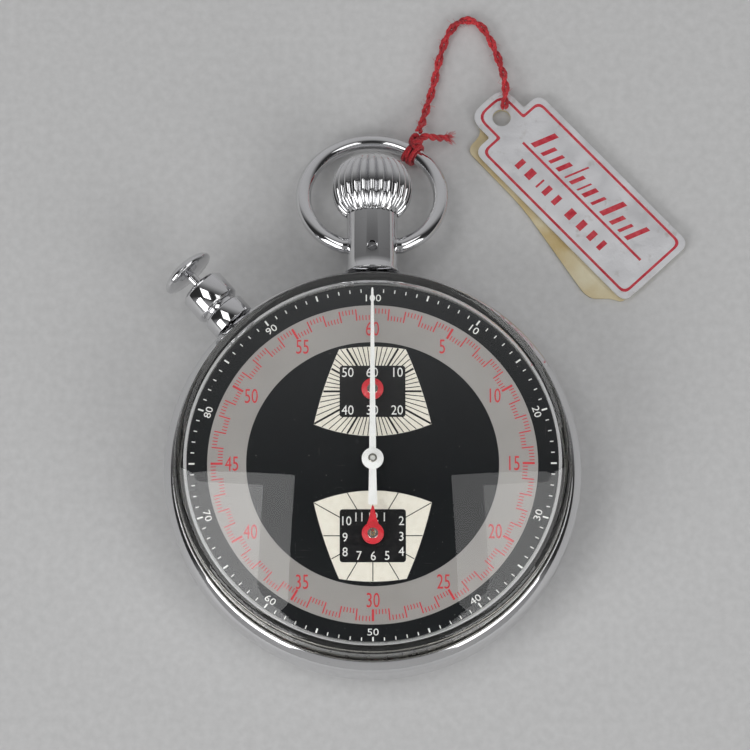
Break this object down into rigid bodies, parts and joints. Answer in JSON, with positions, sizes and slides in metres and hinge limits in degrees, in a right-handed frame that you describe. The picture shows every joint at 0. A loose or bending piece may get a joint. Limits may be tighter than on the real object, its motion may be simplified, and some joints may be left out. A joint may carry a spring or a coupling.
{
  "type": "mechanical stopwatch",
  "caption": "Round keyless stopwatch: chromed case with fluted crown, hinged bow and side pusher, domed crystal over a dial with two small dials, and a string tag.",
  "frame": {"origin": "centre of the flat resting face of the case back, on the dial's axis", "axes": "+Z out through the dial, +Y towards the crown, +X towards three o'clock"},
  "size_m": [0.0696, 0.0942, 0.0162],
  "materials": {
    "chrome": "polished chrome plate on brass",
    "acrylic": "clear polished acrylic",
    "dial_black": "satin black lacquer with printed scales",
    "white_paint": "white lacquer",
    "red_paint": "red lacquer",
    "nickel_brass": "nickel plated, grained",
    "brass": "polished",
    "steel": "fine ground",
    "blue_steel": "heat blued",
    "red_cotton": "twisted cotton",
    "foil_card": "silver foil facing",
    "yellowed_card": "plain, aged"
  },
  "bodies": {
    "case": {"case_middle": "chrome", "case_back": "chrome", "bezel": "chrome", "crystal": "acrylic", "pendant": "chrome", "pendant_screw": "steel", "pusher_tube": "chrome", "dial": "dial_black", "mainplate": "nickel_brass", "barrel_bridge": "nickel_brass", "train_bridge": "nickel_brass", "balance_cock": "nickel_brass", "cock_screw": "steel", "crown_wheel_screw": "steel", "crown_spring": "steel", "pusher_spring": "steel", "hairspring": "blue_steel", "bridge_screw_1": "steel", "bridge_screw_2": "steel", "bridge_screw_3": "steel", "bridge_screw_4": "steel", "bridge_screw_5": "steel"},
    "seconds": {"seconds_wheel": "brass", "seconds_heart": "steel", "seconds_hand": "white_paint"},
    "third": {"third_wheel": "brass"},
    "second": {"second_wheel": "brass", "recorder_driver": "brass"},
    "barrel_drum": {"barrel": "brass", "barrel_cover": "brass", "mainspring": "blue_steel"},
    "barrel_core": {"barrel_arbor": "steel", "ratchet_wheel": "steel", "ratchet_screw": "steel"},
    "escape": {"escape_wheel": "steel"},
    "pallets": {"pallet_fork": "steel"},
    "balance_wheel": {"balance": "brass"},
    "minute_transfer": {"minute_idler": "brass"},
    "minutes": {"minute_wheel": "brass", "minute_heart": "steel", "minute_hand": "red_paint"},
    "hour_transfer": {"hour_idler": "brass"},
    "hours": {"hour_wheel": "brass", "hour_heart": "steel", "hour_hand": "red_paint"},
    "winding": {"winding_pinion": "steel"},
    "crown_and_stem": {"crown": "chrome", "stem": "steel"},
    "crown_wheel_body": {"crown_wheel": "steel"},
    "click_body": {"click": "steel"},
    "column": {"column_wheel": "steel"},
    "operating": {"operating_lever": "steel"},
    "brake": {"brake_lever": "steel"},
    "hammer": {"reset_hammer": "steel"},
    "pusher": {"pusher_button": "chrome"},
    "bow_and_tag": {"bow": "chrome", "string": "red_cotton", "string_knot": "red_cotton", "tag_front": "foil_card", "tag_back": "yellowed_card"}
  },
  "joints": [
    {"name": "seconds_turn", "type": "hinge", "parent": "case", "child": "seconds", "pos_m": [0, 0, 0], "axis": [0, 0, 1], "continuous": true},
    {"name": "third_turn", "type": "hinge", "parent": "case", "child": "third", "pos_m": [0.00567, -0.00307, 0], "axis": [0, 0, 1], "continuous": true},
    {"name": "second_turn", "type": "hinge", "parent": "case", "child": "second", "pos_m": [0.01189, 0.00057, 0], "axis": [0, 0, 1], "continuous": true},
    {"name": "barrel_turn", "type": "hinge", "parent": "case", "child": "barrel_drum", "pos_m": [0.0095, 0.0095, 0], "axis": [0, 0, 1], "continuous": true},
    {"name": "escape_turn", "type": "hinge", "parent": "case", "child": "escape", "pos_m": [-0.00443, -0.00443, 0], "axis": [0, 0, 1], "continuous": true},
    {"name": "minute_transfer_turn", "type": "hinge", "parent": "case", "child": "minute_transfer", "pos_m": [0.00675, 0.00621, 0], "axis": [0, 0, 1], "continuous": true},
    {"name": "minute_turn", "type": "hinge", "parent": "case", "child": "minutes", "pos_m": [0, 0.00975, 0], "axis": [0, 0, 1], "continuous": true},
    {"name": "hour_transfer_turn", "type": "hinge", "parent": "case", "child": "hour_transfer", "pos_m": [0.00594, -0.00617, 0], "axis": [0, 0, 1], "continuous": true},
    {"name": "hour_turn", "type": "hinge", "parent": "case", "child": "hours", "pos_m": [0, -0.00975, 0], "axis": [0, 0, 1], "continuous": true},
    {"name": "crown_turn", "type": "hinge", "parent": "case", "child": "winding", "pos_m": [0, 0, 0.007], "axis": [0, 1, 0], "continuous": true},
    {"name": "crown_press", "type": "slide", "parent": "winding", "child": "crown_and_stem", "axis": [0, -1, 0], "range_m": [0, 0.0012], "stiffness_N_per_m": 1500, "springref_m": -0.0005},
    {"name": "crown_wheel_turn", "type": "hinge", "parent": "case", "child": "crown_wheel_body", "pos_m": [0, 0.015, 0], "axis": [0, 0, 1], "continuous": true},
    {"name": "ratchet_turn", "type": "hinge", "parent": "case", "child": "barrel_core", "pos_m": [0.0095, 0.0095, 0], "axis": [0, 0, 1], "continuous": true},
    {"name": "click_rock", "type": "hinge", "parent": "case", "child": "click_body", "pos_m": [0.0146, 0.0029, 0], "axis": [0, 0, 1], "range_deg": [-6, 2], "stiffness_Nm_per_rad": 0.0001},
    {"name": "pallet_rock", "type": "hinge", "parent": "case", "child": "pallets", "pos_m": [-0.00663, -0.00663, 0], "axis": [0, 0, 1], "range_deg": [-4, 4]},
    {"name": "balance_swing", "type": "hinge", "parent": "case", "child": "balance_wheel", "pos_m": [-0.00903, -0.00903, 0], "axis": [0, 0, 1], "range_deg": [-220, 220], "stiffness_Nm_per_rad": 0.0000008},
    {"name": "column_turn", "type": "hinge", "parent": "case", "child": "column", "pos_m": [-0.0082, 0.0096, 0], "axis": [0, 0, 1], "continuous": true},
    {"name": "operating_lever_turn", "type": "hinge", "parent": "case", "child": "operating", "pos_m": [-0.006, 0.0146, 0], "axis": [0, 0, 1], "range_deg": [-11.41, 0.5]},
    {"name": "brake_lever_turn", "type": "hinge", "parent": "case", "child": "brake", "pos_m": [-0.0115, 0.002, 0], "axis": [0, 0, 1], "range_deg": [-1.5, 2]},
    {"name": "pusher_press", "type": "slide", "parent": "case", "child": "pusher", "axis": [0.6639, -0.7478, 0], "range_m": [0, 0.0012], "stiffness_N_per_m": 1000, "springref_m": -0.0005},
    {"name": "hammer_swing", "type": "hinge", "parent": "case", "child": "hammer", "pos_m": [-0.0055, 0.0185, 0], "axis": [0, 0, 1], "range_deg": [-0.5, 8.92]},
    {"name": "bow_swing", "type": "hinge", "parent": "case", "child": "bow_and_tag", "pos_m": [0, 0.0315, 0.007], "axis": [1, 0, 0], "range_deg": [-97, 152]}
  ],
  "couplings": [
    {"joint": "third_turn", "follows": "seconds_turn", "ratio": -0.13333},
    {"joint": "second_turn", "follows": "seconds_turn", "ratio": 0.016667},
    {"joint": "barrel_turn", "follows": "seconds_turn", "ratio": -0.0027778},
    {"joint": "escape_turn", "follows": "seconds_turn", "ratio": -10},
    {"joint": "minute_transfer_turn", "follows": "seconds_turn", "ratio": -0.010811},
    {"joint": "minute_turn", "follows": "seconds_turn", "ratio": 0.016667},
    {"joint": "hour_transfer_turn", "follows": "seconds_turn", "ratio": -0.0083333},
    {"joint": "hour_turn", "follows": "seconds_turn", "ratio": 0.0013889},
    {"joint": "crown_wheel_turn", "follows": "crown_turn", "ratio": 0.5},
    {"joint": "ratchet_turn", "follows": "crown_turn", "ratio": -0.28571},
    {"joint": "operating_lever_turn", "follows": "crown_press", "rad_per_m": -158.73},
    {"joint": "hammer_swing", "follows": "pusher_press", "rad_per_m": 122.4}
  ]
}
